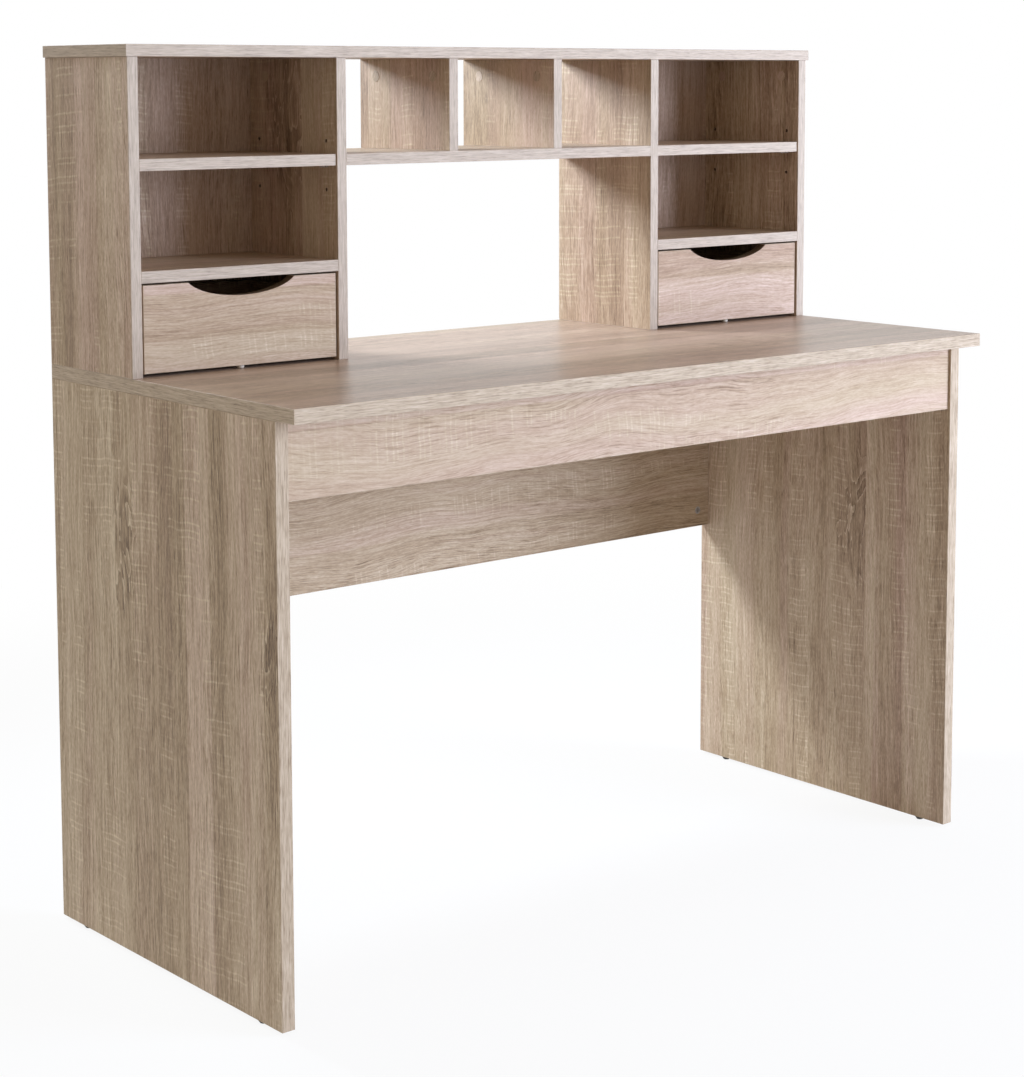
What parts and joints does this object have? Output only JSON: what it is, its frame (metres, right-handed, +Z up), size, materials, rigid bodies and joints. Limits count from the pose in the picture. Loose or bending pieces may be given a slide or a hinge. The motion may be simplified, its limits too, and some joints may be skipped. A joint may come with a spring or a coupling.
{
  "type": "student desk with hutch",
  "caption": "Oak-look board desk with a shelf hutch along its back: open middle bay and cubbies between side bays with loose shelves and notched drawers.",
  "frame": {"origin": "on the floor, at the middle of the whole desk's box", "axes": "+Z up, the user sits at -Y, +X to the seated user's right"},
  "size_m": [1.206, 0.553, 1.15],
  "materials": {
    "oak_desk_board": "matt laminate with a pale greyish oak grain",
    "oak_rail": "matt laminate, grain along the rail",
    "oak_hutch_board": "matt laminate, grain along the board",
    "oak_back_sheet": "thin fibreboard with the same laminate, grain upright",
    "oak_drawer_front": "matt laminate, grain across the front",
    "oak_drawer_box": "matt laminate",
    "oak_cover": "thin stick-on cover with the same oak print",
    "pale_fibreboard": "thin painted fibreboard",
    "dowel_beech": "plain beech",
    "cam_zinc": "cast zinc, satin",
    "bright_steel": "bright plated steel",
    "black_plastic": "matt black",
    "pale_plastic": "matt, off-white"
  },
  "bodies": {
    "desk_and_hutch": {"back_sheet_nails": "bright_steel", "desk_cam_bolts": "bright_steel", "desk_cam_locks": "cam_zinc", "desk_dowels": "dowel_beech", "desktop": "oak_desk_board", "front_apron": "oak_rail", "front_left_foot": "black_plastic", "front_right_foot": "black_plastic", "hutch_cam_bolts": "bright_steel", "hutch_cam_covers": "oak_cover", "hutch_cam_locks": "cam_zinc", "hutch_connecting_screws": "bright_steel", "hutch_dowels": "dowel_beech", "hutch_left_inner_side": "oak_hutch_board", "hutch_left_outer_side": "oak_hutch_board", "hutch_right_inner_side": "oak_hutch_board", "hutch_right_outer_side": "oak_hutch_board", "hutch_top": "oak_hutch_board", "left_back_sheet": "oak_back_sheet", "left_cubby_divider": "oak_hutch_board", "left_fixed_shelf": "oak_hutch_board", "left_side_panel": "oak_desk_board", "middle_shelf": "oak_hutch_board", "rear_left_foot": "black_plastic", "rear_panel": "oak_rail", "rear_right_foot": "black_plastic", "right_back_sheet": "oak_back_sheet", "right_cubby_divider": "oak_hutch_board", "right_fixed_shelf": "oak_hutch_board", "right_side_panel": "oak_desk_board", "shelf_pins": "bright_steel"},
    "left_drawer": {"left_drawer_back": "oak_drawer_box", "left_drawer_bottom": "pale_fibreboard", "left_drawer_bottom_nails": "bright_steel", "left_drawer_cam_bolts": "bright_steel", "left_drawer_cam_locks": "cam_zinc", "left_drawer_dowels": "dowel_beech", "left_drawer_front": "oak_drawer_front", "left_drawer_glides": "pale_plastic", "left_drawer_left_side": "oak_drawer_box", "left_drawer_right_side": "oak_drawer_box", "left_drawer_screws": "bright_steel"},
    "left_loose_shelf": {"left_pin_shelf": "oak_hutch_board"},
    "right_drawer": {"right_drawer_back": "oak_drawer_box", "right_drawer_bottom": "pale_fibreboard", "right_drawer_bottom_nails": "bright_steel", "right_drawer_cam_bolts": "bright_steel", "right_drawer_cam_locks": "cam_zinc", "right_drawer_dowels": "dowel_beech", "right_drawer_front": "oak_drawer_front", "right_drawer_glides": "pale_plastic", "right_drawer_left_side": "oak_drawer_box", "right_drawer_right_side": "oak_drawer_box", "right_drawer_screws": "bright_steel"},
    "right_loose_shelf": {"right_pin_shelf": "oak_hutch_board"}
  },
  "joints": [
    {"name": "left_drawer_slide", "type": "slide", "parent": "desk_and_hutch", "child": "left_drawer", "axis": [0, -1, 0], "range_m": [0, 0.2]},
    {"name": "right_drawer_slide", "type": "slide", "parent": "desk_and_hutch", "child": "right_drawer", "axis": [0, -1, 0], "range_m": [0, 0.2]},
    {"name": "left_shelf_lift_out", "type": "slide", "parent": "desk_and_hutch", "child": "left_loose_shelf", "axis": [0, -1, 0], "range_m": [0, 0.21]},
    {"name": "right_shelf_lift_out", "type": "slide", "parent": "desk_and_hutch", "child": "right_loose_shelf", "axis": [0, -1, 0], "range_m": [0, 0.21]}
  ]
}
